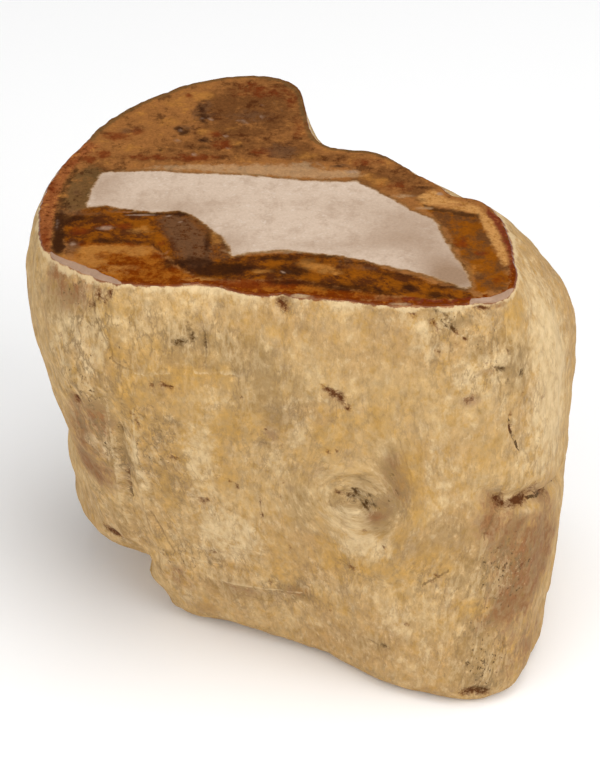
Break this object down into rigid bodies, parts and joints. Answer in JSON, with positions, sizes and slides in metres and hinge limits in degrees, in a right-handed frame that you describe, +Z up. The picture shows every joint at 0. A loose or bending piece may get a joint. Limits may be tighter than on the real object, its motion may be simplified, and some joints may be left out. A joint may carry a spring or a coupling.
{
  "type": "petrified wood",
  "caption": "Block of petrified wood standing on its flat foot, with a level sawn and polished top and a weathered, knotty rind.",
  "frame": {"origin": "middle of the underside of the block's bounding box, on the plane of the flat foot it stands on", "axes": "+Z up along the trunk and normal to the polished top, -Y towards the viewer of the knotty front, +X towards the right shoulder"},
  "size_m": [0.309, 0.2654, 0.27],
  "materials": {
    "petrified_wood": "matte"
  },
  "bodies": {
    "root": {"petrified_wood": "petrified_wood"}
  },
  "joints": []
}
